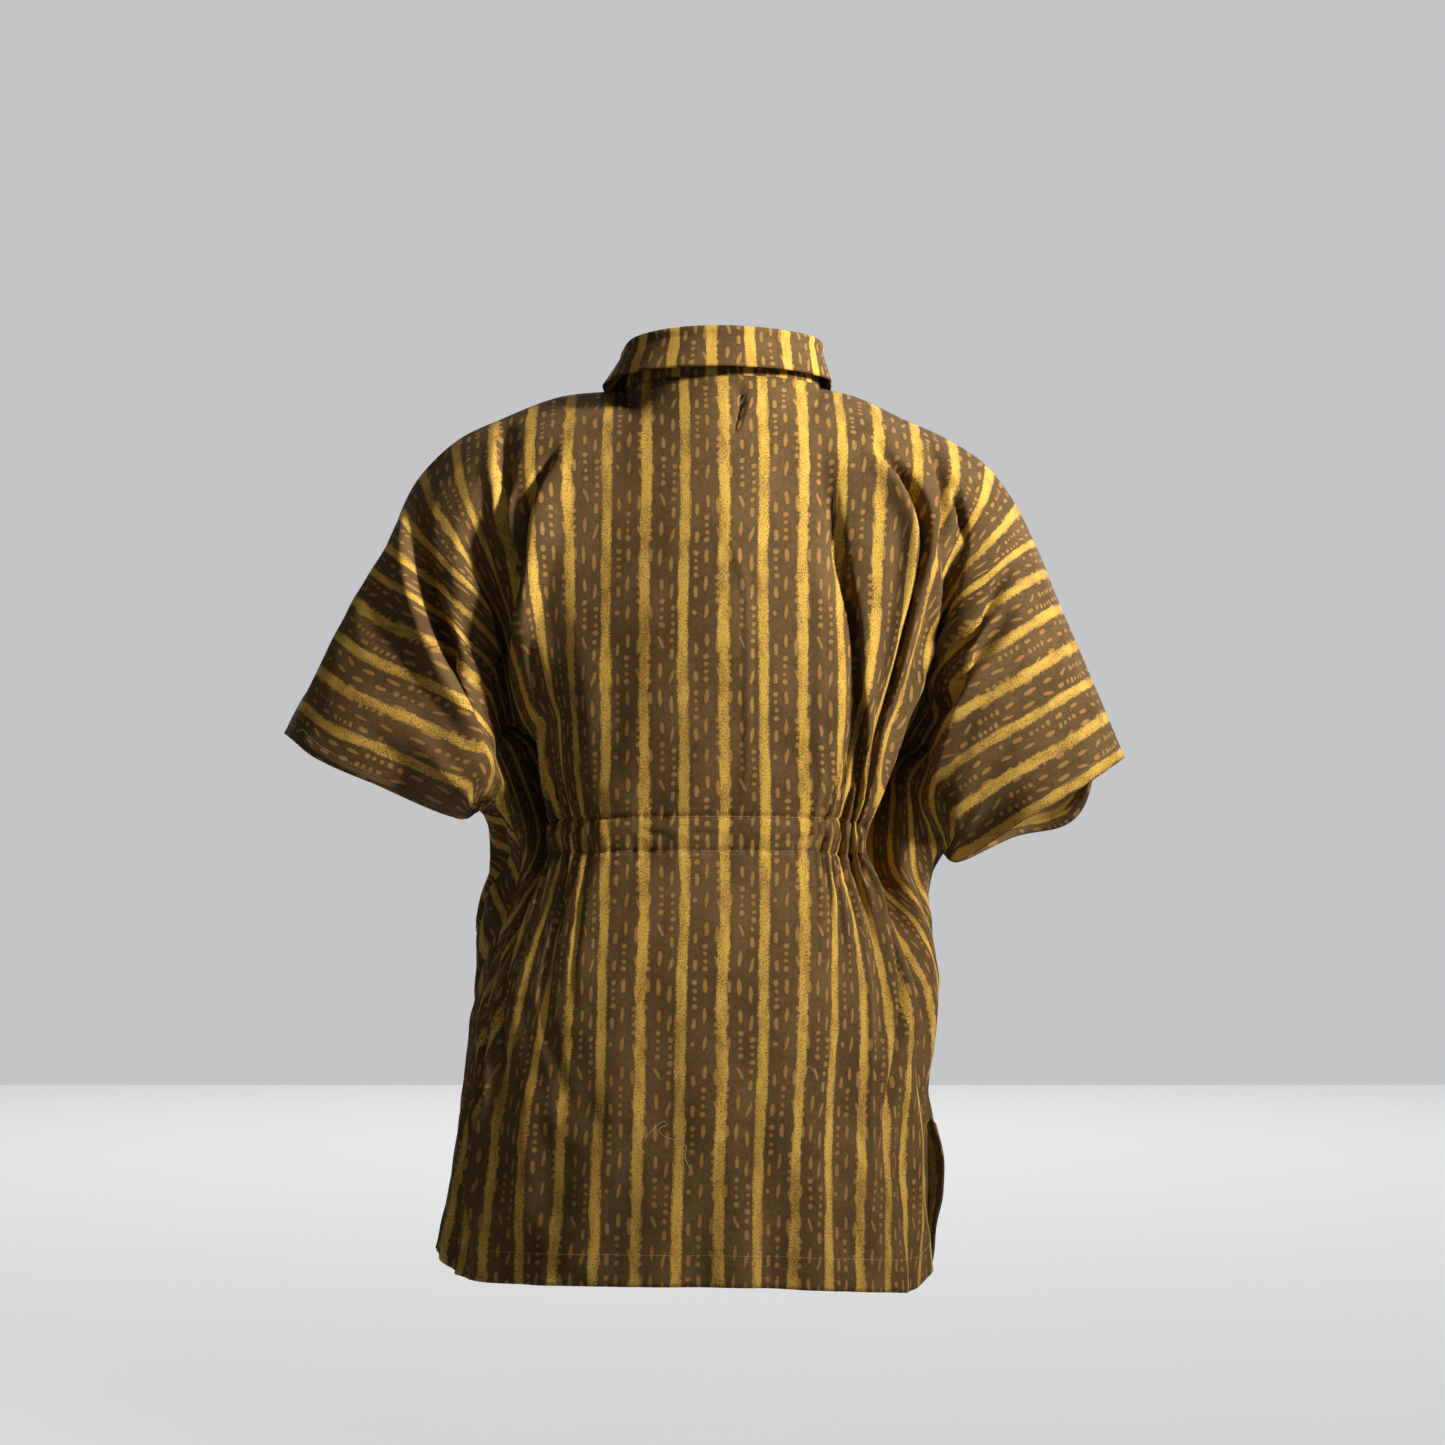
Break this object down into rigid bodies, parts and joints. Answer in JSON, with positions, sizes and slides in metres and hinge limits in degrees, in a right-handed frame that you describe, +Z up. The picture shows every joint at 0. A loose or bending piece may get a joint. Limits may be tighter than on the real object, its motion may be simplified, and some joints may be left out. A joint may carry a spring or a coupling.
{
  "type": "kaftan",
  "caption": "Short loose kaftan top, worn form: wide sleeves cut in one with the body, turned-down collar, gathered back waist, side slits and striped block print.",
  "frame": {"origin": "midway between the neck ends of the two shoulder seams, where the garment rests on the wearer", "axes": "+X to the wearer's right, +Y to the wearer's front, +Z up; the garment hangs down -Z and its back faces -Y"},
  "size_m": [0.736, 0.263, 0.8223],
  "materials": {
    "print_cotton": "matt block-printed cotton, dark brown with mustard stripes and tan dashes",
    "casing_cotton": "matt cotton, the wrong side of the same cloth"
  },
  "bodies": {
    "root": {"back_panel": "print_cotton", "front_panel": "print_cotton", "collar": "print_cotton", "waist_casing": "casing_cotton"}
  },
  "joints": []
}
